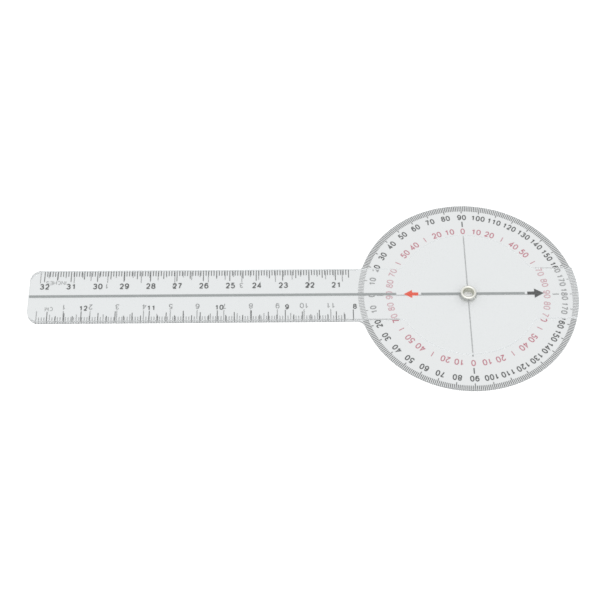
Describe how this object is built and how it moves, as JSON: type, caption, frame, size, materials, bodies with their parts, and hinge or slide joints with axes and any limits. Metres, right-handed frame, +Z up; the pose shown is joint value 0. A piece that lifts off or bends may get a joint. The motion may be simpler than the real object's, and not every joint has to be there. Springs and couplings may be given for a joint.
{
  "type": "goniometer",
  "caption": "Clear plastic goniometer for measuring joint angles: a ruler arm ending in a full-circle protractor, with a second ruler arm turning on it about a metal eyelet.",
  "frame": {"origin": "under the middle of the folded tool, on the plane of its lowest point (the eyelet's back flange)", "axes": "+X along the arms from their far ends towards the pivot, +Y across the arms, +Z up through the pivot, with the moving arm above the protractor arm"},
  "size_m": [0.2068, 0.083, 0.0034],
  "materials": {
    "clear_sheet": "clear sheet with a faint haze, smooth on both faces",
    "nickel_plate": "nickel plated, slightly worn",
    "black_ink": "screen-printed",
    "grey_ink": "screen-printed, thin film",
    "red_ink": "screen-printed",
    "pointer_red_ink": "screen-printed"
  },
  "bodies": {
    "stationary": {"protractor_arm": "clear_sheet", "pivot_eyelet": "nickel_plate"},
    "moving": {"moving_arm": "clear_sheet"}
  },
  "joints": [
    {"name": "pivot_turn", "type": "hinge", "parent": "stationary", "child": "moving", "pos_m": [0.0619, 0, 0.00166], "axis": [0, 0, 1], "continuous": true}
  ]
}
